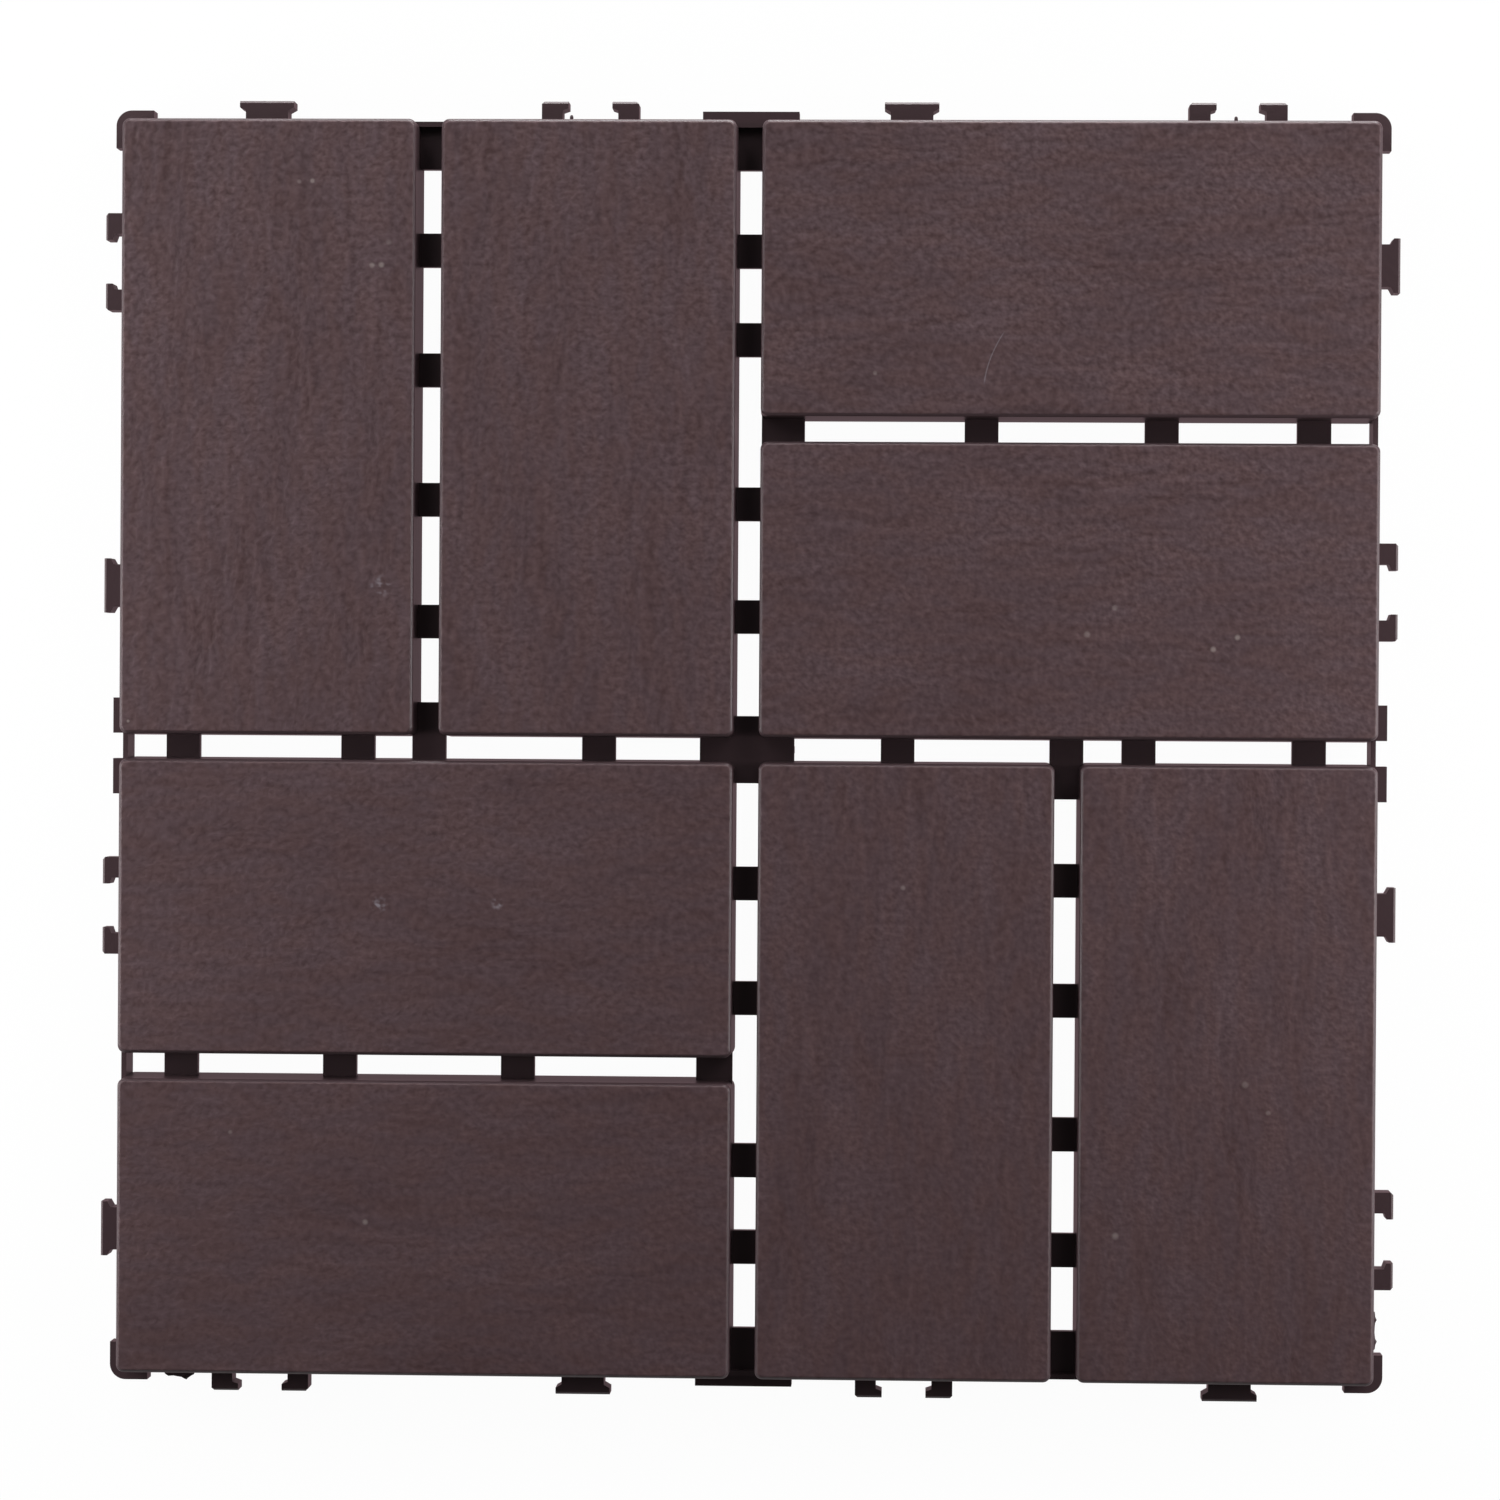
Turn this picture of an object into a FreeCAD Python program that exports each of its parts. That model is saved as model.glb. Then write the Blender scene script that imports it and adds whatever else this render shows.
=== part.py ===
import FreeCAD, Part
import os
import re

import Sketcher

# Interlocking deck tile: one injection-moulded piece of brown polypropylene.
#
# Eight slats lie in a pinwheel, two to a quarter. Each slat is an upside-down tray with a thin
# deck skin, skirts all round, a grid of ribs and four cross-shaped feet. Straps low down in the
# gaps carry the slats and leave drain slots between them. The four sides are alike: tabs and hook
# pairs take turns, so that any side clips to any other side of the next tile.
#
# Millimetres. Z is up, with the feet on Z = 0. The origin is below the middle of the tile.
# The first quarter, X and Y both positive, holds the slats that run along X.

SIZES = {
    # Slats, in plan
    "slat_width": 69.0,
    "slat_gap": 6.0,
    "tile_joint": 6.0,
    "corner_radius": 1.8,
    "edge_radius": 1.0,
    # Heights and walls of the slats
    "deck_height": 19.0,
    "foot_clearance": 3.5,
    "deck_skin": 2.2,
    "skirt_wall": 1.9,
    "draft_angle": 1.5,
    # Ribs under the deck skin
    "rib_wall": 1.5,
    "rib_depth": 9.0,
    "long_rib_pitch": 24.0,
    "cross_rib_pitch": 42.0,
    "cross_rib_count": 3,
    # Feet, on every second crossing of the ribs
    "foot_width": 10.0,
    "foot_count": 2,
    # Straps in the gaps: flat on top, with a rib below
    "strap_drop": 9.0,
    "strap_width": 7.9,
    "strap_thickness": 2.6,
    "strap_rib_wall": 1.6,
    "strap_rib_depth": 3.4,
    "hub_along_row": 11.1,
    "hub_along_column": 7.9,
    # Places of the straps along each arm of a gap. First and second are measured from the middle
    # of the tile, third and last from the outer end of the slats
    "row_right_first": 35.4,
    "row_right_second": 91.9,
    "row_right_last": 15.3,
    "row_left_first": 34.9,
    "row_left_second": 91.8,
    "row_left_last": 13.8,
    "column_upper_first": 31.2,
    "column_upper_second": 57.7,
    "column_upper_third": 50.7,
    "column_upper_last": 29.9,
    "column_lower_first": 31.5,
    "column_lower_second": 58.5,
    "column_lower_third": 50.3,
    "column_lower_last": 29.9,
    "short_row_upper_root": 10.1,
    "short_row_upper_first": 54.6,
    "short_row_upper_second": 96.8,
    "short_row_upper_last": 14.6,
    "short_row_lower_root": 8.5,
    "short_row_lower_first": 53.6,
    "short_row_lower_second": 95.7,
    "short_row_lower_last": 13.7,
    "short_column_left_root": 7.7,
    "short_column_left_first": 29.7,
    "short_column_left_second": 58.4,
    "short_column_left_third": 58.1,
    "short_column_left_last": 29.9,
    "short_column_right_root": 8.2,
    "short_column_right_first": 30.3,
    "short_column_right_second": 58.5,
    "short_column_right_third": 57.1,
    "short_column_right_last": 29.9,
    # Rims and shelves that close the ends of the gaps
    "rim_wall": 1.2,
    "rim_drop": 6.0,
    "shelf_depth": 10.9,
    # Stops that touch the next tile: flanges at mid-side and brackets at the corners
    "flange_width": 22.7,
    "flange_top": 9.0,
    "bracket_arm": 8.9,
    "bracket_radius": 3.7,
    # Tabs and hooks
    "connector_top": 10.0,
    "connector_from_middle": 37.8,
    "connector_from_corner": 32.8,
    "connector_reach": 5.2,
    "tab_neck": 10.0,
    "tab_head": 12.8,
    "tab_head_depth": 1.5,
    "tab_flare": 0.8,
    "socket_width": 13.1,
    "socket_mouth": 10.3,
    "hook_wall": 4.9,
    "barb_depth": 1.6,
    "barb_flare": 0.5,
    "hook_bevel": 0.6,
    "lead_in": 0.5,
}

# Sizes that follow from the ones above
DERIVED = {
    "half_gap": "slat_gap / 2",
    "slat_length": "2 * slat_width + slat_gap",
    "slat_pitch": "slat_width + slat_gap",
    "slat_middle": "half_gap + slat_length / 2",
    "field_half": "half_gap + slat_length",
    "pitch_half": "field_half + tile_joint / 2",
    "skirt_height": "deck_height - foot_clearance",
    "cavity_height": "skirt_height - deck_skin",
    "skin_middle": "deck_height - deck_skin / 2",
    "first_cross_rib": "slat_middle - (cross_rib_count - 1) / 2 * cross_rib_pitch",
    "foot_pitch": "2 * cross_rib_pitch",
    "first_foot": "slat_middle - (foot_count - 1) / 2 * foot_pitch",
    "strap_top": "deck_height - strap_drop",
    "rim_top": "deck_height - rim_drop",
    "rim_inner": "field_half - rim_wall",
    "shelf_inner": "field_half - shelf_depth",
    "wall_middle": "skirt_wall / 2",
    "connector_near": "connector_from_middle",
    "connector_far": "field_half - connector_from_corner",
    "hook_outer": "socket_width / 2 + hook_wall",
}

# The arms of the gaps, outwards from the middle of the tile: the axis an arm runs along, the side
# it lies on, the middle of its gap, its straps and how far its root reaches
ARMS = [
    ("x", "", "0", [
        "row_right_first", "row_right_second", "field_half - row_right_last",
    ], None),
    ("x", "0 -", "0", [
        "row_left_first", "row_left_second", "field_half - row_left_last",
    ], None),
    ("y", "", "0", [
        "column_upper_first", "column_upper_second",
        "field_half - column_upper_third", "field_half - column_upper_last",
    ], None),
    ("y", "0 -", "0", [
        "column_lower_first", "column_lower_second",
        "field_half - column_lower_third", "field_half - column_lower_last",
    ], None),
    ("x", "", "slat_pitch", [
        "short_row_upper_first", "short_row_upper_second", "field_half - short_row_upper_last",
    ], "short_row_upper_root"),
    ("x", "0 -", "0 - slat_pitch", [
        "short_row_lower_first", "short_row_lower_second", "field_half - short_row_lower_last",
    ], "short_row_lower_root"),
    ("y", "", "0 - slat_pitch", [
        "short_column_left_first", "short_column_left_second",
        "field_half - short_column_left_third", "field_half - short_column_left_last",
    ], "short_column_left_root"),
    ("y", "0 -", "slat_pitch", [
        "short_column_right_first", "short_column_right_second",
        "field_half - short_column_right_third", "field_half - short_column_right_last",
    ], "short_column_right_root"),
]


def make_sheet(doc):
    """Write the sizes into a sheet, one row each: the alias in A and the value in B."""
    sheet = doc.addObject("Spreadsheet::Sheet", "Sizes")
    rows = [(alias, str(value)) for alias, value in SIZES.items()]
    rows += [(alias, "=" + formula) for alias, formula in DERIVED.items()]
    for row, (alias, content) in enumerate(rows, start=1):
        sheet.set("A%d" % row, alias)
        sheet.set("B%d" % row, content)
        sheet.setAlias("B%d" % row, alias)
    doc.recompute()
    return sheet


def sized(formula):
    """Turn a formula of plain size names into one that points at the sheet."""
    return re.sub("[a-z_]+", lambda name: "Sizes." + name.group(), formula)


def sketch_at(body, name, height):
    """An empty sketch on the level plane at this height."""
    sketch = body.newObject("Sketcher::SketchObject", name)
    plane = next(item for item in body.Origin.OriginFeatures if item.Role == "XY_Plane")
    sketch.AttachmentSupport = [(plane, "")]
    sketch.MapMode = "FlatFace"
    sketch.setExpression("AttachmentOffset.Base.z", sized(height))
    return sketch


def worked_out(sketch, formula):
    """The present value of a formula."""
    return float(sketch.evalExpression(sized(formula)))


def draw_lines(sketch, corners):
    """A closed outline of straight lines through the corners, without its sizes."""
    points = [
        FreeCAD.Vector(worked_out(sketch, across), worked_out(sketch, upward))
        for across, upward in corners
    ]
    first = sketch.GeometryCount
    following = points[1:] + points[:1]
    sketch.addGeometry([Part.LineSegment(*ends) for ends in zip(points, following)])
    lines = range(first, first + len(corners))
    sketch.addConstraint([
        Sketcher.Constraint("Coincident", line, 2, after, 1)
        for line, after in zip(lines, list(lines[1:]) + [first])
    ])
    return first


def hold(sketch, places):
    """Tie coordinates to formulas: each place is a direction, the line starting there, a formula."""
    first = sketch.ConstraintCount
    sketch.addConstraint([
        Sketcher.Constraint(direction, -1, 1, line, 1, worked_out(sketch, formula))
        for direction, line, formula in places
    ])
    for index, (direction, line, formula) in enumerate(places, start=first):
        sketch.setExpression("Constraints[%d]" % index, sized(formula))


def draw_rectangle(sketch, left, right, bottom, top):
    """A rectangle whose four sides follow formulas."""
    corners = [(left, bottom), (right, bottom), (right, top), (left, top)]
    first = draw_lines(sketch, corners)
    sketch.addConstraint([
        Sketcher.Constraint(direction, first + step)
        for step, direction in enumerate(("Horizontal", "Vertical", "Horizontal", "Vertical"))
    ])
    hold(sketch, [
        ("DistanceX", first, left),
        ("DistanceY", first, bottom),
        ("DistanceX", first + 2, right),
        ("DistanceY", first + 2, top),
    ])


def draw_polygon(sketch, corners):
    """A closed outline whose every corner follows a pair of formulas."""
    first = draw_lines(sketch, corners)
    hold(sketch, [
        (direction, line, formula)
        for line, corner in enumerate(corners, start=first)
        for direction, formula in zip(("DistanceX", "DistanceY"), corner)
    ])


def draw_cross(sketch, across, upward, arm_across, arm_upward, half_wall):
    """A cross-shaped outline round the point (across, upward)."""
    corners = [
        ("+ " + half_wall, "+ " + arm_upward),
        ("- " + half_wall, "+ " + arm_upward),
        ("- " + half_wall, "+ " + half_wall),
        ("- " + arm_across, "+ " + half_wall),
        ("- " + arm_across, "- " + half_wall),
        ("- " + half_wall, "- " + half_wall),
        ("- " + half_wall, "- " + arm_upward),
        ("+ " + half_wall, "- " + arm_upward),
        ("+ " + half_wall, "- " + half_wall),
        ("+ " + arm_across, "- " + half_wall),
        ("+ " + arm_across, "+ " + half_wall),
        ("+ " + half_wall, "+ " + half_wall),
    ]
    draw_polygon(sketch, [
        ("%s %s" % (across, to_side), "%s %s" % (upward, to_top)) for to_side, to_top in corners
    ])


def extrude(body, sketch, kind, length, downward):
    """Pad or pocket a sketch, up or down."""
    feature = body.newObject("PartDesign::" + kind, sketch.Name + kind)
    feature.Profile = sketch
    # A pocket goes down by itself and a pad goes up
    feature.Reversed = downward if kind == "Pad" else not downward
    feature.setExpression("Length", sized(length))
    feature.Document.recompute()
    return feature


def numbered(base, kind, chosen):
    """The names of a feature's chosen edges or faces."""
    return [
        "%s%d" % (kind, number)
        for number, item in enumerate(getattr(base.Shape, kind + "s"), start=1)
        if any(item.isSame(other) for other in chosen)
    ]


def round_edges(body, name, base, edges, radius):
    """Round the listed edges of the feature below."""
    feature = body.newObject("PartDesign::Fillet", name)
    feature.Base = (base, numbered(base, "Edge", edges))
    feature.setExpression("Radius", sized(radius))
    feature.Document.recompute()
    return feature


def bevel_edges(body, name, base, edges, size):
    """Bevel the listed edges of the feature below."""
    feature = body.newObject("PartDesign::Chamfer", name)
    feature.Base = (base, numbered(base, "Edge", edges))
    feature.setExpression("Size", sized(size))
    feature.Document.recompute()
    return feature


def draft_sides(body, name, base, sides, deck, angle, hollow):
    """Slope sides from the deck's plane: a solid or a hollow gets wider towards the ground."""
    feature = body.newObject("PartDesign::Draft", name)
    feature.Base = (base, numbered(base, "Face", sides))
    feature.NeutralPlane = (base, numbered(base, "Face", deck)[:1])
    feature.Reversed = hollow
    feature.setExpression("Angle", sized(angle))
    feature.Document.recompute()
    return feature


def row_pattern(body, name, feature, count, pitch):
    """Repeat a feature along X."""
    pattern = body.newObject("PartDesign::LinearPattern", name)
    pattern.Originals = [feature]
    axis = next(item for item in body.Origin.OriginFeatures if item.Role == "X_Axis")
    pattern.Direction = (axis, [""])
    pattern.setExpression("Occurrences", sized(count))
    pattern.setExpression("Length", sized("( %s - 1 ) * %s" % (count, pitch)))
    body.Tip = pattern
    feature.Document.recompute()
    return pattern


def turn_copies(body, name, count):
    """Repeat the whole body so far evenly round the vertical axis."""
    pattern = body.newObject("PartDesign::PolarPattern", name)
    pattern.TransformMode = "Whole shape"
    axis = next(item for item in body.Origin.OriginFeatures if item.Role == "Z_Axis")
    pattern.Axis = (axis, [""])
    pattern.Angle = 360
    pattern.Occurrences = count
    body.Tip = pattern
    body.Document.recompute()
    return pattern


def slat_starts():
    """The near edge in Y of each slat of the first quarter."""
    return ("half_gap", "half_gap + slat_pitch")


def rib_rows():
    """The places in Y of the long ribs, two to each slat."""
    return [
        "%s + slat_width / 2 %s long_rib_pitch / 2" % (start, side)
        for start in slat_starts()
        for side in ("-", "+")
    ]


def make_trays(body, sheet):
    """The two slats of the first quarter: outer form, cavity, draft and rounded edges."""
    outline = sketch_at(body, "SlatOutline", "foot_clearance")
    for start in slat_starts():
        draw_rectangle(outline, "half_gap", "field_half", start, start + " + slat_width")
    trays = extrude(body, outline, "Pad", "skirt_height", False)
    upright = [edge for edge in trays.Shape.Edges if edge.BoundBox.ZLength > sheet.deck_skin]
    trays = round_edges(body, "SlatCorners", trays, upright, "corner_radius")
    sides, deck = sides_and_deck(trays, sheet)
    trays = draft_sides(body, "SkirtDraft", trays, sides, deck, "draft_angle", False)

    cavity = sketch_at(body, "SlatCavity", "foot_clearance")
    for start in slat_starts():
        draw_rectangle(
            cavity,
            "half_gap + skirt_wall",
            "field_half - skirt_wall",
            start + " + skirt_wall",
            start + " + slat_width - skirt_wall",
        )
    hollow = extrude(body, cavity, "Pocket", "cavity_height", False)
    sides, deck = sides_and_deck(hollow, sheet)
    inner = [face for face in sides if face.BoundBox.ZMax < sheet.skin_middle]
    trays = draft_sides(body, "CavityDraft", hollow, inner, deck, "draft_angle", True)

    rim = [edge for edge in trays.Shape.Edges if edge.BoundBox.ZMin > sheet.skin_middle]
    round_edges(body, "DeckEdges", trays, rim, "edge_radius")


def sides_and_deck(trays, sheet):
    """The upright faces of the trays, and the faces of their decks."""
    sides = [face for face in trays.Shape.Faces if face.BoundBox.ZLength > sheet.deck_skin]
    deck = [face for face in trays.Shape.Faces if face.BoundBox.ZMin > sheet.skin_middle]
    return sides, deck


def make_ribs(body):
    """The grid of thin ribs that stiffens each deck skin from below."""
    depth = "rib_depth + deck_skin / 2"
    long_ribs = sketch_at(body, "LongRibs", "skin_middle")
    for row in rib_rows():
        draw_rectangle(
            long_ribs,
            "half_gap + wall_middle",
            "field_half - wall_middle",
            row + " - rib_wall / 2",
            row + " + rib_wall / 2",
        )
    extrude(body, long_ribs, "Pad", depth, True)

    cross_rib = sketch_at(body, "CrossRib", "skin_middle")
    for start in slat_starts():
        draw_rectangle(
            cross_rib,
            "first_cross_rib - rib_wall / 2",
            "first_cross_rib + rib_wall / 2",
            start + " + wall_middle",
            start + " + slat_width - wall_middle",
        )
    rib = extrude(body, cross_rib, "Pad", depth, True)
    row_pattern(body, "CrossRibs", rib, "cross_rib_count", "cross_rib_pitch")


def make_feet(body):
    """Cross-shaped feet, where the ribs run on down to the ground at their crossings."""
    foot = sketch_at(body, "Foot", "skin_middle")
    for row in rib_rows():
        draw_cross(foot, "first_foot", row, "foot_width / 2", "foot_width / 2", "rib_wall / 2")
    feet = extrude(body, foot, "Pad", "skin_middle", True)
    row_pattern(body, "Feet", feet, "foot_count", "foot_pitch")


def make_slats(doc, sheet):
    """All eight slats: the two of the first quarter, turned into the other three."""
    body = doc.addObject("PartDesign::Body", "Slats")
    make_trays(body, sheet)
    make_ribs(body)
    make_feet(body)
    turn_copies(body, "AllSlats", 4)
    return body


def make_rims(body):
    """The low walls that close the outer ends of the gaps on the right side."""
    rims = sketch_at(body, "EndRims", "foot_clearance")
    for middle in ("0", "slat_pitch"):
        draw_rectangle(
            rims,
            "rim_inner",
            "field_half",
            "%s - half_gap - wall_middle" % middle,
            "%s + half_gap + wall_middle" % middle,
        )
    extrude(body, rims, "Pad", "rim_top - foot_clearance", False)


def make_stops(body, sheet):
    """The mid-side flanges and the corner bracket, which touch the next tile's."""
    flanges = sketch_at(body, "Flanges", "foot_clearance")
    outer = ("field_half - wall_middle", "pitch_half")
    along = ("half_gap", "flange_width / 2")
    draw_rectangle(flanges, *outer, *along)
    draw_rectangle(flanges, *along, *outer)
    extrude(body, flanges, "Pad", "flange_top - foot_clearance", False)

    bracket = sketch_at(body, "CornerBracket", "foot_clearance")
    inner = "field_half - wall_middle"
    tip = "pitch_half - bracket_arm"
    draw_polygon(bracket, [
        (tip, inner),
        (inner, inner),
        (inner, tip),
        ("pitch_half", tip),
        ("pitch_half", "pitch_half"),
        (tip, "pitch_half"),
    ])
    stop = extrude(body, bracket, "Pad", "flange_top - foot_clearance", False)
    corner = [
        edge for edge in stop.Shape.Edges
        if edge.BoundBox.XMin > sheet.field_half and edge.BoundBox.YMin > sheet.field_half
        and edge.BoundBox.ZLength > sheet.deck_skin
    ]
    round_edges(body, "BracketCorner", stop, corner, "bracket_radius")


def on_right_side(along, outward):
    """A point given along the right side and outward from the slats."""
    return ("field_half + %s" % outward, along)


def on_top_side(along, outward):
    """A point given along the top side and outward from the slats."""
    return (along, "field_half + %s" % outward)


def draw_tab(sketch, side, middle):
    """A tab: a neck that flares into a wider head."""
    half = [
        ("tab_neck / 2", "0 - wall_middle"),
        ("tab_neck / 2", "connector_reach - tab_head_depth - tab_flare"),
        ("tab_head / 2", "connector_reach - tab_head_depth"),
        ("tab_head / 2", "connector_reach"),
    ]
    right = [("%s + %s" % (middle, width), outward) for width, outward in half]
    left = [("%s - %s" % (middle, width), outward) for width, outward in half]
    draw_polygon(sketch, [side(*corner) for corner in right + left[::-1]])


def draw_hooks(sketch, side, middle):
    """A pair of hooks with their barbs facing each other across a socket."""
    hook = [
        ("socket_width / 2", "0 - wall_middle"),
        ("socket_width / 2", "connector_reach - barb_depth - barb_flare"),
        ("socket_mouth / 2", "connector_reach - barb_depth"),
        ("socket_mouth / 2", "connector_reach"),
        ("hook_outer - hook_bevel", "connector_reach"),
        ("hook_outer", "connector_reach - hook_bevel"),
        ("hook_outer", "0 - wall_middle"),
    ]
    for sign in ("+", "-"):
        draw_polygon(sketch, [
            side("%s %s ( %s )" % (middle, sign, across), outward) for across, outward in hook
        ])


def make_connectors(body, sheet):
    """The tabs and hook pairs on the right and top sides of the first quarter."""
    outline = sketch_at(body, "Connectors", "foot_clearance")
    draw_tab(outline, on_right_side, "connector_far")
    draw_hooks(outline, on_right_side, "connector_near")
    draw_tab(outline, on_top_side, "connector_near")
    draw_hooks(outline, on_top_side, "connector_far")
    connectors = extrude(body, outline, "Pad", "connector_top - foot_clearance", False)

    end = sheet.field_half + sheet.connector_reach - sheet.tab_flare / 2
    lead_in = [
        edge for edge in connectors.Shape.Edges
        if edge.BoundBox.ZMin > sheet.flange_top
        and (edge.BoundBox.XMin > end or edge.BoundBox.YMin > end)
    ]
    bevel_edges(body, "LeadIns", connectors, lead_in, "lead_in")


def make_side_fittings(doc, sheet):
    """What stands round the four sides: rims, stops, tabs and hooks."""
    body = doc.addObject("PartDesign::Body", "SideFittings")
    make_rims(body)
    make_stops(body, sheet)
    make_connectors(body, sheet)
    turn_copies(body, "AllSideFittings", 4)
    return body


def across_gap(middle):
    """From the middle of one skirt to the middle of the other, across a gap."""
    return ("%s - half_gap - wall_middle" % middle, "%s + half_gap + wall_middle" % middle)


def draw_across(sketch, axis, side, middle, inner, outer):
    """A rectangle across one arm of a gap, from inner to outer along it."""
    along = ("%s ( %s )" % (side, inner), "%s ( %s )" % (side, outer))
    if axis == "x":
        draw_rectangle(sketch, *along, *across_gap(middle))
    else:
        draw_rectangle(sketch, *across_gap(middle), *along)


def draw_loose_straps(sketch, width):
    """The straps that cross a gap between two slats, at this width."""
    for axis, side, middle, places, _ in ARMS:
        for place in places:
            edges = ("%s - %s / 2" % (place, width), "%s + %s / 2" % (place, width))
            draw_across(sketch, axis, side, middle, *edges)


def draw_gap_ends(sketch):
    """The wide straps at the ends of the gaps: roots near the middle, shelves at the rims."""
    for axis, side, middle, _, root in ARMS:
        if axis == "y":
            draw_across(sketch, axis, side, middle, "shelf_inner", "rim_inner + rim_wall / 2")
        if root:
            # The root of a short column also closes the row's gap beside it
            start = "half_gap" if axis == "x" else "0 - half_gap - wall_middle"
            draw_across(sketch, axis, side, middle, start, "half_gap + " + root)


def make_gap_straps(doc):
    """All that spans the gaps between the slats, low down."""
    body = doc.addObject("PartDesign::Body", "GapStraps")
    straps = sketch_at(body, "Straps", "strap_top")
    draw_loose_straps(straps, "strap_width")
    draw_gap_ends(straps)
    extrude(body, straps, "Pad", "strap_thickness", True)

    ribs = sketch_at(body, "StrapRibs", "strap_top")
    draw_loose_straps(ribs, "strap_rib_wall")
    extrude(body, ribs, "Pad", "strap_thickness + strap_rib_depth", True)

    bridges = sketch_at(body, "FlangeBridges", "foot_clearance")
    for side in ("", "0 -"):
        draw_across(bridges, "y", side, "0", "rim_inner + rim_wall / 2", "pitch_half")
    extrude(body, bridges, "Pad", "flange_top - foot_clearance", False)

    hub = sketch_at(body, "Hub", "strap_top")
    draw_cross(
        hub, "0", "0", "hub_along_row", "hub_along_column", "( half_gap + wall_middle )")
    extrude(body, hub, "Pad", "strap_thickness", True)
    hub_ribs = sketch_at(body, "HubRibs", "strap_top")
    draw_cross(
        hub_ribs, "0", "0", "hub_along_row", "hub_along_column", "strap_rib_wall / 2")
    extrude(body, hub_ribs, "Pad", "strap_thickness + strap_rib_depth", True)
    return body


def check(doc, tile):
    """Stop if any feature failed or the moulding isn't one valid solid."""
    for item in doc.Objects:
        if "Invalid" in item.State or "Error" in item.State:
            raise RuntimeError("%s failed: %s" % (item.Name, item.State))
    if tile.Shape.isNull() or not tile.Shape.isValid() or len(tile.Shape.Solids) != 1:
        raise RuntimeError("%s isn't one valid solid" % tile.Label)


doc = FreeCAD.newDocument("deck_tile")
sizes = make_sheet(doc)
slats = make_slats(doc, sizes)
fittings = make_side_fittings(doc, sizes)
straps = make_gap_straps(doc)
tile = doc.addObject("Part::MultiFuse", "DeckTile")
tile.Label = "deck_tile"
tile.Shapes = [slats, fittings, straps]
tile.Refine = True
doc.recompute()
check(doc, tile)
os.makedirs("parts", exist_ok=True)
tile.Shape.exportStep("parts/%s.step" % tile.Label)
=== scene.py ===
import math

import bmesh
import bpy
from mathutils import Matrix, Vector


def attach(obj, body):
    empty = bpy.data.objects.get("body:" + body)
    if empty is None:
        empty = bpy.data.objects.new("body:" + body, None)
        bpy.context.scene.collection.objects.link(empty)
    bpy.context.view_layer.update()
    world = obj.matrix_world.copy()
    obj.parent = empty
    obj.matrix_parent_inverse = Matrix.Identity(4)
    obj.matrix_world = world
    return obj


MM = 0.001

# The camera that took the picture looks almost straight down on the tile
IMAGE_SIDE = 1500
FOCAL_PIXELS = 4706.4
SENSOR_WIDTH = 36.0
CAMERA_PLACE_MM = (38.947, 8.675, 1116.0)
CAMERA_TURN_DEGREES = (-0.440, 1.983, 0.371)
NEAREST_SEEN = 0.01

# Levels and places of the tile, in millimetres
DECK_HEIGHT = 19.0
SKIRT_FACE = 147.2
FLASH_LEVEL = 6.8
PIP_LEVEL = 13.0

# Flash left by the mould on the lower edge: distance along X and reach out of the skirt
LOWER_FLASH = (
    (-138.0, 0.3), (-137.2, 1.7), (-136.4, 2.2), (-135.2, 2.1), (-134.1, 2.3), (-133.3, 2.4),
    (-132.6, 2.8), (-132.1, 3.0), (-131.7, 2.6), (-131.0, 2.1), (-130.4, 1.8), (-129.5, 0.3),
)
# The same on the right edge: distance along Y and reach
RIGHT_FLASH = (
    (-140.6, 0.6), (-139.8, 1.2), (-138.9, 1.3), (-138.1, 1.65), (-137.4, 1.25), (-136.0, 1.1),
    (-134.6, 1.15), (-133.7, 1.25), (-133.0, 1.6), (-132.3, 1.25), (-131.2, 1.15), (-130.6, 0.5),
)
# Half the thickness of the flash where it leaves the skirt, part of the way out, and at its rim.
# The first number is the share of the reach
FLASH_PROFILE = ((0.0, 0.35), (0.6, 0.245), (1.0, 0.08))

# Pips on the upper edge, where pins pushed the tile out of the mould: places along X, how deep
# they sit in the skirt, and distance outwards and radius at each ring
PIP_PLACES = (-42.0, 113.4)
PIP_DEPTH = 0.1
PIP_RINGS = ((0.0, 0.45), (1.05, 0.42), (1.35, 0.33), (1.5, 0.16))
PIP_SIDES = 16

# Colours, linear
# The hollow and crest colours paint the grain's light: painted shade in the hollows, a painted
# greyish highlight on the crests
SHADED_HOLLOW_WARM = (0.0415, 0.0193, 0.0200, 1.0)
SHADED_HOLLOW_COOL = (0.0395, 0.0199, 0.0222, 1.0)
HIGHLIT_CREST_WARM = (0.1010, 0.0617, 0.0653, 1.0)
HIGHLIT_CREST_COOL = (0.0970, 0.0623, 0.0695, 1.0)
BROWN = (0.0475, 0.0285, 0.0320, 1.0)
# The next colour serves both the painted glints on the decks and the real grains of dirt
PALE_GLINT_AND_DIRT = (0.36, 0.31, 0.29, 1.0)
DUST = (0.24, 0.22, 0.25, 1.0)
PAPER = (0.8, 0.8, 0.8, 1.0)
WHITE = (1.0, 1.0, 1.0, 1.0)
# Colour of a painted reflection: what the gap walls mirror from close by
BROWN_GAP_REFLECTION = (0.385, 0.26, 0.285, 1.0)

# Gloss of the plastic. Its plain faces are smoother than the grain
PLASTIC_IOR = 1.49
SPECULAR_LEVEL = 0.25
HOLLOW_ROUGHNESS = 0.62
CREST_ROUGHNESS = 0.5
PLAIN_ROUGHNESS = 0.36

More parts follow.
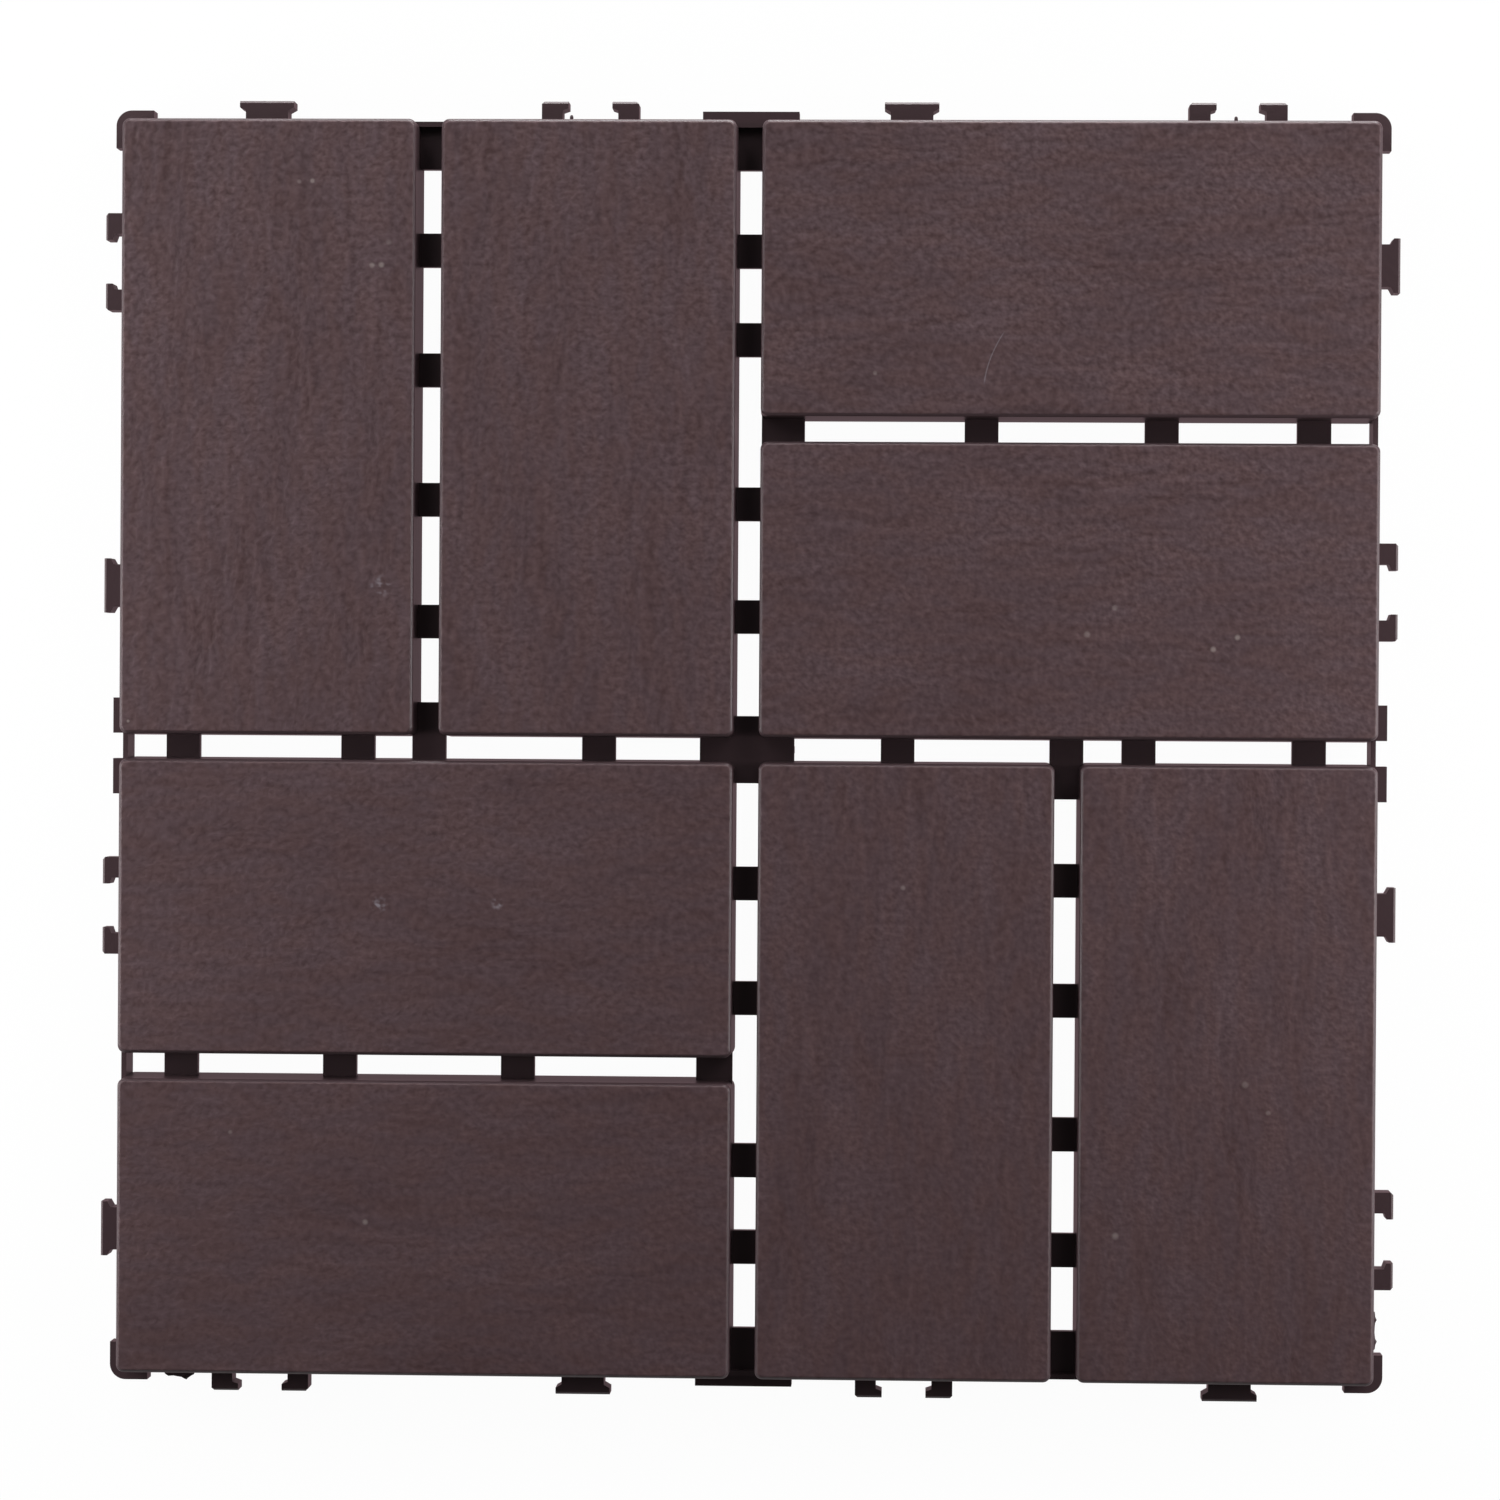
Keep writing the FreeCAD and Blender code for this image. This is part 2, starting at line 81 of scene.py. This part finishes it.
# Grain of the decks: how long and how wide its features are, in millimetres
WANDER_SIZE = (34.0, 20.0)
STROKE_SIZE = (1.8, 1.6)
STREAK_SIZE = (16.0, 2.3)
BUNDLE_SIZE = (60.0, 6.0)
CLOUD_SIZE = (40.0, 14.0)
PATCH_SIZE = (12.0, 5.0)
PEBBLE_SIZE = (1.5, 1.4)
PLAIN_GRAIN_SIZE = 1.6
# How far the grain wanders from side to side, and the depth of its relief, in millimetres
WANDER_REACH = 9.0
GRAIN_DEPTH = 0.28
# Shares, least and most: of leather among the wood, and of the long streaks
LEATHER_SHARES = (0.3, 0.85)
STREAK_SHARES = (0.08, 0.5)
CLOUD_SHARE = 0.2
PLAIN_GRAIN_SHARE = 0.15
GRAIN_CONTRAST = 2.25
# The grain is flattest towards the lower side, in relief and in its painted shade and highlight,
# which stand for the weaker play of light on that side: places along Y, and what is left of it
# there
FLAT_PLACE, DEEP_PLACE = -190.0, 150.0
FLATTEST_GRAIN = 0.57

# Painted glints, pale dots that stand for highlights on the grain: a place in each cell of this
# size holds one, if its lot is above the limit
GLINT_CELL = 24.0
GLINT_RADIUS = 0.48
GLINT_LIMIT = 0.6
GLINT_SHARE = 0.3

# Marks on the decks: middle, radius and strength
SCUFFS = (
    ((-85.8, 37.8), 3.2, 0.42),
    ((-57.9, -36.3), 1.8, 0.5),
    ((-85.6, -36.8), 2.4, 0.6),
)
DIRT_GRAINS = (
    ((-88.1, 112.7), 0.9, 0.26),
    ((-85.9, 112.8), 0.9, 0.32),
    ((-84.2, 118.1), 0.9, 0.12),
    ((-102.2, 132.4), 0.8, 0.28),
    ((-105.3, 132.2), 0.7, 0.16),
    ((29.6, 88.0), 0.7, 0.18),
    ((79.3, 27.4), 1.0, 0.22),
    ((85.7, 33.6), 0.9, 0.20),
    ((114.2, 26.9), 0.9, 0.36),
    ((108.6, 24.1), 0.9, 0.36),
    ((122.1, -83.6), 0.8, 0.18),
    ((116.7, -77.1), 1.1, 0.18),
    ((86.8, -112.6), 1.1, 0.24),
    ((36.9, -31.9), 0.8, 0.22),
    ((-88.4, -111.1), 0.9, 0.26),
    ((-120.3, -90.3), 0.7, 0.16),
)
# The scratch leaves its foot with a lean and bends more on its way up
SCRATCH_FOOT = (54.95, 85.3)
SCRATCH_LEAN = 0.1
SCRATCH_BEND = 0.022
SCRATCH_MIDDLE = 6.3
SCRATCH_HALF_LENGTH = 6.5
SCRATCH_HALF_WIDTH = 0.2
SCRATCH_SHARE = 0.3

# The floor, in metres, and how much of it shows as plain white. The rest keeps the shadow
FLOOR_REACH = 3.0
FLOOR_WHITENESS = 0.97
CLOSE_BY = 0.03

WORLD_STRENGTH = 0.08
# How high a mirrored direction may point and still meet the white all round
WHITE_BELOW, WHITE_UP_TO = 0.1, 0.35

# Lamps: name, azimuth, elevation, distance in metres, power, and width and height as shares of
# the distance
SOFT_BOX = (0.6, 0.6)
STRIP = (0.8, 0.05)
LAMPS = (
    ("low_right", 0.0, 15.0, 0.5, 2.7, SOFT_BOX),
    ("upper_right", 52.0, 35.0, 0.8, 2.75, SOFT_BOX),
    ("low_left", 180.0, 15.0, 0.5, 2.7, SOFT_BOX),
    ("upper_left", 128.0, 35.0, 0.8, 2.75, SOFT_BOX),
    ("behind", 82.0, 1.6, 0.8, 10.0, STRIP),
)


def add(tree, kind, sockets, output=0, **settings):
    """Add a node, set or link its inputs and return one of its outputs."""
    node = tree.nodes.new(kind)
    for name, value in settings.items():
        setattr(node, name, value)
    for key, value in sockets.items():
        if isinstance(value, bpy.types.NodeSocket):
            tree.links.new(value, node.inputs[key])
        else:
            node.inputs[key].default_value = value
    return node.outputs[output]


def calc(tree, operation, *values):
    """Arithmetic on sockets and numbers."""
    return add(tree, "ShaderNodeMath", dict(enumerate(values)), operation=operation)


def vector(tree, x, y, z=0.0):
    """A vector out of three sockets or numbers."""
    return add(tree, "ShaderNodeCombineXYZ", {"X": x, "Y": y, "Z": z})


def noise(tree, place, detail=2.0):
    """Soft noise around 0.5, with features about one unit wide."""
    return add(tree, "ShaderNodeTexNoise", {"Vector": place, "Scale": 1.0, "Detail": detail})


def flat_noise(tree, first, second, size, layer=0.0, detail=2.0):
    """Noise over two axes, with features of the given size. Layers differ from each other."""
    place = vector(tree, calc(tree, "DIVIDE", first, size[0]),
                   calc(tree, "DIVIDE", second, size[1]), layer)
    return noise(tree, place, detail)


def ramp(tree, value, low, high, at_low=0.0, at_high=1.0):
    """Turn a value between low and high into one between at_low and at_high, with soft ends."""
    return add(tree, "ShaderNodeMapRange", {
        "Value": value, "From Min": low, "From Max": high, "To Min": at_low, "To Max": at_high,
    }, interpolation_type="SMOOTHSTEP")


def mix_color(tree, factor, first, second):
    """Blend from the first colour to the second."""
    return add(tree, "ShaderNodeMix", {0: factor, 6: first, 7: second}, output=2, data_type="RGBA")


def mix_value(tree, factor, first, second):
    """Blend from the first number to the second."""
    return add(tree, "ShaderNodeMix", {0: factor, 2: first, 3: second}, data_type="FLOAT")


def spot(tree, place, middle, radius):
    """How near a point is to the middle of a round spot: 0 outside and 1 near the middle."""
    distance = add(tree, "ShaderNodeVectorMath", {0: place, 1: (*middle, 0.0)},
                   output="Value", operation="DISTANCE")
    return ramp(tree, distance, radius, 0.25 * radius)


def grain_places(tree):
    """Where a point lies, in millimetres: x, y and z, and along and across its slat's grain."""
    place = add(tree, "ShaderNodeTexCoord", {}, output="Object")
    scaled = add(tree, "ShaderNodeVectorMath", {0: place, "Scale": 1 / MM}, operation="SCALE")
    split = tree.nodes.new("ShaderNodeSeparateXYZ")
    tree.links.new(scaled, split.inputs[0])
    x, y, z = split.outputs
    # The slats of two quarters run along X and those of the other two along Y
    runs_along_x = calc(tree, "GREATER_THAN", calc(tree, "MULTIPLY", x, y), 0.0)
    along = mix_value(tree, runs_along_x, y, x)
    across = mix_value(tree, runs_along_x, x, y)
    return x, y, z, along, across, runs_along_x


def grain_height(tree, y, along, across, runs_along_x, clouds, pebbles):
    """Height of the grain, around 0.5: short strokes of wood, leather, and streaks over both."""
    # The grain wanders a little from side to side on its way
    wander = flat_noise(tree, along, across, WANDER_SIZE, runs_along_x)
    bent = calc(tree, "ADD", across, calc(tree, "MULTIPLY", wander, WANDER_REACH))
    strokes = flat_noise(tree, along, bent, STROKE_SIZE, runs_along_x, detail=1.0)
    streaks = flat_noise(tree, along, bent, STREAK_SIZE, runs_along_x, detail=1.0)
    # Some parts of a slat look more like leather than like wood
    height = mix_value(tree, ramp(tree, clouds, 0.4, 0.6, *LEATHER_SHARES), strokes, pebbles)
    # The longer streaks come in bundles
    bundles = flat_noise(tree, along, across, BUNDLE_SIZE, runs_along_x, detail=1.0)
    streaky = ramp(tree, bundles, 0.42, 0.64, *STREAK_SHARES)
    ups_and_downs = calc(tree, "SUBTRACT", streaks, 0.5)
    height = calc(tree, "MULTIPLY_ADD", ups_and_downs, streaky, height)
    # The grain is flatter towards the lower side, which also fades its painted shade and highlight
    # there, as the light brings out the relief less on that side
    depth = ramp(tree, y, FLAT_PLACE, DEEP_PLACE, FLATTEST_GRAIN, 1.0)
    return mix_value(tree, depth, 0.5, height)


def deck_share(tree, z):
    """1 on the decks, inside their rounded edges, and 0 off them."""
    normal = add(tree, "ShaderNodeTexCoord", {}, output="Normal")
    normal_z = add(tree, "ShaderNodeSeparateXYZ", {0: normal}, output=2)
    return calc(tree, "MULTIPLY", ramp(tree, z, DECK_HEIGHT - 0.4, DECK_HEIGHT - 0.02),
                ramp(tree, normal_z, 0.8, 0.99))


def grain_shading_and_tone(tree, height, clouds, along, across, runs_along_x):
    """Painted shade in the grain's hollows and a painted greyish highlight on its crests, in warmer
    and cooler patches of the plastic's own tone.
    """
    patches = flat_noise(tree, along, across, PATCH_SIZE, runs_along_x)
    patches = ramp(tree, patches, 0.35, 0.65)
    tone = mix_value(tree, CLOUD_SHARE, height, clouds)
    tone = calc(tree, "MULTIPLY_ADD", tone, GRAIN_CONTRAST, 0.4 - 0.5 * GRAIN_CONTRAST)
    return mix_color(tree, tone, mix_color(tree, patches, SHADED_HOLLOW_WARM, SHADED_HOLLOW_COOL),
                     mix_color(tree, patches, HIGHLIT_CREST_WARM, HIGHLIT_CREST_COOL))


def with_painted_glints(tree, color, flat_place, on_deck):
    """The colour with a few painted glints: pale dots on the decks that stand for highlights on the
    grain.
    """
    cells = tree.nodes.new("ShaderNodeTexVoronoi")
    cells.inputs["Scale"].default_value = 1 / GLINT_CELL
    tree.links.new(flat_place, cells.inputs["Vector"])
    lot = add(tree, "ShaderNodeSeparateColor", {0: cells.outputs["Color"]})
    radius = GLINT_RADIUS / GLINT_CELL
    glint = calc(tree, "MULTIPLY", ramp(tree, cells.outputs["Distance"], radius, 0.5 * radius),
                 calc(tree, "GREATER_THAN", lot, GLINT_LIMIT))
    glint = calc(tree, "MULTIPLY", glint, on_deck)
    return mix_color(tree, calc(tree, "MULTIPLY", glint, GLINT_SHARE), color, PALE_GLINT_AND_DIRT)


def with_marks(tree, color, flat_place, pebbles):
    """The colour with scuffs and grains of dirt."""
    for middle, radius, share in SCUFFS:
        rough = calc(tree, "MULTIPLY", spot(tree, flat_place, middle, radius),
                     ramp(tree, pebbles, 0.45, 0.7))
        color = mix_color(tree, calc(tree, "MULTIPLY", rough, share), color, DUST)
    for middle, radius, share in DIRT_GRAINS:
        grain_of_dirt = calc(tree, "MULTIPLY", spot(tree, flat_place, middle, radius), share)
        color = mix_color(tree, grain_of_dirt, color, PALE_GLINT_AND_DIRT)
    return color


def with_scratch(tree, color, x, y):
    """The colour with one curved, hair-thin scratch."""
    up = calc(tree, "SUBTRACT", y, SCRATCH_FOOT[1])
    slope = calc(tree, "MULTIPLY_ADD", up, SCRATCH_BEND, SCRATCH_LEAN)
    middle_x = calc(tree, "ADD", calc(tree, "MULTIPLY", up, slope), SCRATCH_FOOT[0])
    off = calc(tree, "ABSOLUTE", calc(tree, "SUBTRACT", x, middle_x))
    from_middle = calc(tree, "ABSOLUTE", calc(tree, "SUBTRACT", up, SCRATCH_MIDDLE))
    scratch = calc(tree, "MULTIPLY",
                   ramp(tree, off, SCRATCH_HALF_WIDTH, 0.3 * SCRATCH_HALF_WIDTH),
                   ramp(tree, from_middle, SCRATCH_HALF_LENGTH, SCRATCH_HALF_LENGTH - 1.5))
    return mix_color(tree, calc(tree, "MULTIPLY", scratch, SCRATCH_SHARE), color, DUST)


def make_tile_material():
    """Brown moulded plastic: wood grain pressed into the decks, with painted shade and highlights
    on its relief and painted glints, and plainer sides and underside.
    """
    material = bpy.data.materials.new("brown_moulded_plastic")
    material.use_nodes = True
    tree = material.node_tree
    shader = tree.nodes["Principled BSDF"]
    shader.inputs["IOR"].default_value = PLASTIC_IOR
    shader.inputs["Specular IOR Level"].default_value = SPECULAR_LEVEL

    x, y, z, along, across, runs_along_x = grain_places(tree)
    clouds = flat_noise(tree, along, across, CLOUD_SIZE, runs_along_x, detail=3.0)
    pebbles = flat_noise(tree, x, y, PEBBLE_SIZE, detail=1.0)
    height = grain_height(tree, y, along, across, runs_along_x, clouds, pebbles)
    on_deck = deck_share(tree, z)

    flat_place = vector(tree, x, y)
    color = grain_shading_and_tone(tree, height, clouds, along, across, runs_along_x)
    color = mix_color(tree, on_deck, BROWN, color)
    # Painted glints: pale dots standing for highlights on the grain's relief
    color = with_painted_glints(tree, color, flat_place, on_deck)
    color = with_marks(tree, color, flat_place, pebbles)
    color = with_scratch(tree, color, x, y)
    tree.links.new(color, shader.inputs["Base Color"])

    roughness = ramp(tree, height, 0.3, 0.7, HOLLOW_ROUGHNESS, CREST_ROUGHNESS)
    roughness = mix_value(tree, on_deck, PLAIN_ROUGHNESS, roughness)
    tree.links.new(roughness, shader.inputs["Roughness"])

    plain = noise(tree, vector(tree, *(calc(tree, "DIVIDE", value, PLAIN_GRAIN_SIZE)
                                       for value in (x, y, z))))
    plain = calc(tree, "MULTIPLY", plain, PLAIN_GRAIN_SHARE)
    bump = add(tree, "ShaderNodeBump", {
        "Strength": 1.0,
        "Distance": GRAIN_DEPTH * MM,
        "Height": mix_value(tree, on_deck, plain, height),
    })
    tree.links.new(bump, shader.inputs["Normal"])
    return material


def make_piece(name, points, faces, material):
    """A small moulded piece of the tile, given in millimetres."""
    mesh = bpy.data.meshes.new(name)
    mesh.from_pydata([[MM * value for value in point] for point in points], [], faces)
    shape = bmesh.new()
    shape.from_mesh(mesh)
    bmesh.ops.recalc_face_normals(shape, faces=shape.faces)
    shape.to_mesh(mesh)
    shape.free()
    mesh.materials.append(material)
    piece = bpy.data.objects.new(name, mesh)
    bpy.context.collection.objects.link(piece)
    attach(piece, "root")


def make_fin(name, outline, place, material):
    """A ragged fin of flash that thins outwards. place(along, outward) gives its X and Y."""
    points = []
    for along, reach in outline:
        for share, half in FLASH_PROFILE:
            x, y = place(along, share * reach)
            points += [(x, y, FLASH_LEVEL - half), (x, y, FLASH_LEVEL + half)]
    ring = (0, 1, 3, 5, 4, 2)
    last = len(ring) * (len(outline) - 1)
    faces = [ring, tuple(last + corner for corner in ring)]
    for first in range(0, last, len(ring)):
        after = first + len(ring)
        for corner, following in zip(ring, ring[1:] + ring[:1]):
            faces.append((first + corner, first + following, after + following, after + corner))
    make_piece(name, points, faces, material)


def make_pip(name, middle, material):
    """A small round pip that stands out of the upper skirt, with a domed end."""
    points = []
    for outward, radius in PIP_RINGS:
        for side in range(PIP_SIDES):
            turn = 2 * math.pi * side / PIP_SIDES
            points.append((middle + radius * math.cos(turn), SKIRT_FACE - PIP_DEPTH + outward,
                           PIP_LEVEL + radius * math.sin(turn)))
    last = PIP_SIDES * (len(PIP_RINGS) - 1)
    faces = [tuple(range(PIP_SIDES)), tuple(range(last, last + PIP_SIDES))]
    for first in range(0, last, PIP_SIDES):
        after = first + PIP_SIDES
        for side in range(PIP_SIDES):
            following = (side + 1) % PIP_SIDES
            faces.append((first + side, first + following, after + following, after + side))
    make_piece(name, points, faces, material)


def make_mould_marks(material):
    """The flash and the pips that the mould left on the outer skirts."""
    make_fin("flash_lower", LOWER_FLASH,
             lambda along, outward: (along, -SKIRT_FACE - outward), material)
    make_fin("flash_right", RIGHT_FLASH,
             lambda along, outward: (SKIRT_FACE + outward, along), material)
    for number, middle in enumerate(PIP_PLACES, start=1):
        make_pip("pip_%d" % number, middle, material)


def floor_material():
    """White paper that shows as plain white, keeps a faint shadow of the tile, and glows a painted
    brown reflection into the walls of the gaps.
    """
    material = bpy.data.materials.new("white_floor")
    material.use_nodes = True
    tree = material.node_tree
    tree.nodes.clear()
    path = tree.nodes.new("ShaderNodeLightPath")
    # Reflections from close by, as on the walls of the gaps, see a dim brownish glow instead of the
    # white: a painted reflection that browns the gap walls
    far = calc(tree, "GREATER_THAN", path.outputs["Ray Length"], CLOSE_BY)
    glow = add(tree, "ShaderNodeEmission", {
        "Color": mix_color(tree, far, BROWN_GAP_REFLECTION, WHITE), "Strength": 1.0,
    })
    shown = calc(tree, "MAXIMUM", path.outputs["Is Camera Ray"], path.outputs["Is Glossy Ray"])
    shown = calc(tree, "MAXIMUM", shown, path.outputs["Is Transmission Ray"])
    surface = add(tree, "ShaderNodeMixShader", {
        0: calc(tree, "MULTIPLY", shown, FLOOR_WHITENESS),
        1: add(tree, "ShaderNodeBsdfDiffuse", {"Color": PAPER}),
        2: glow,
    })
    output = tree.nodes.new("ShaderNodeOutputMaterial")
    tree.links.new(surface, output.inputs["Surface"])
    return material


def make_floor():
    mesh = bpy.data.meshes.new("floor")
    corners = [
        (-FLOOR_REACH, -FLOOR_REACH, 0), (FLOOR_REACH, -FLOOR_REACH, 0),
        (FLOOR_REACH, FLOOR_REACH, 0), (-FLOOR_REACH, FLOOR_REACH, 0),
    ]
    mesh.from_pydata(corners, [], [(0, 1, 2, 3)])
    mesh.materials.append(floor_material())
    floor = bpy.data.objects.new("floor", mesh)
    bpy.context.collection.objects.link(floor)


def make_world():
    """Dim even light from all round. It shows as white, also in reflections near the horizon."""
    world = bpy.data.worlds.new("world")
    bpy.context.scene.world = world
    world.use_nodes = True
    tree = world.node_tree
    background = tree.nodes["Background"]
    background.inputs["Color"].default_value = WHITE
    path = tree.nodes.new("ShaderNodeLightPath")
    direction = add(tree, "ShaderNodeTexCoord", {}, output="Generated")
    height = add(tree, "ShaderNodeSeparateXYZ", {0: direction}, output=2)
    mirrored = calc(tree, "MAXIMUM", path.outputs["Is Glossy Ray"],
                    path.outputs["Is Transmission Ray"])
    mirrored = calc(tree, "MULTIPLY", mirrored, ramp(tree, height, WHITE_UP_TO, WHITE_BELOW))
    white = calc(tree, "MAXIMUM", path.outputs["Is Camera Ray"], mirrored)
    strength = mix_value(tree, white, WORLD_STRENGTH, 1.0)
    tree.links.new(strength, background.inputs["Strength"])


def make_lamp(name, azimuth, elevation, distance, power, size):
    """A soft lamp that faces the tile, placed by its direction from the tile's middle."""
    data = bpy.data.lights.new(name, "AREA")
    data.shape = "RECTANGLE"
    data.size, data.size_y = (share * distance for share in size)
    data.energy = power
    lamp = bpy.data.objects.new(name, data)
    azimuth = math.radians(azimuth)
    elevation = math.radians(elevation)
    toward = Vector((
        math.cos(elevation) * math.cos(azimuth),
        math.cos(elevation) * math.sin(azimuth),
        math.sin(elevation),
    ))
    lamp.location = distance * toward
    lamp.rotation_euler = toward.to_track_quat("Z", "Y").to_euler()
    bpy.context.collection.objects.link(lamp)


def make_camera():
    data = bpy.data.cameras.new("camera")
    data.sensor_width = SENSOR_WIDTH
    data.lens = SENSOR_WIDTH * FOCAL_PIXELS / IMAGE_SIDE
    data.clip_start = NEAREST_SEEN
    camera = bpy.data.objects.new("camera", data)
    camera.location = [MM * value for value in CAMERA_PLACE_MM]
    camera.rotation_euler = [math.radians(angle) for angle in CAMERA_TURN_DEGREES]
    bpy.context.collection.objects.link(camera)
    bpy.context.scene.camera = camera


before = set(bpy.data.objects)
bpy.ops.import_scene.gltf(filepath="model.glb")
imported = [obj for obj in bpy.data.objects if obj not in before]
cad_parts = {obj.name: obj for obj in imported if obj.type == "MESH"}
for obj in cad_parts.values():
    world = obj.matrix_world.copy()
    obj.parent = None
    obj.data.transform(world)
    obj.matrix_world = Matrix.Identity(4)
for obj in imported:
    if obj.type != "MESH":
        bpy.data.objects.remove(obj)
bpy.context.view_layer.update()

bpy.context.scene.view_settings.view_transform = "Standard"
make_camera()
make_world()
for lamp_values in LAMPS:
    make_lamp(*lamp_values)
make_floor()

tile_material = make_tile_material()
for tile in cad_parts.values():
    for slot in tile.material_slots:
        slot.material = tile_material
make_mould_marks(tile_material)
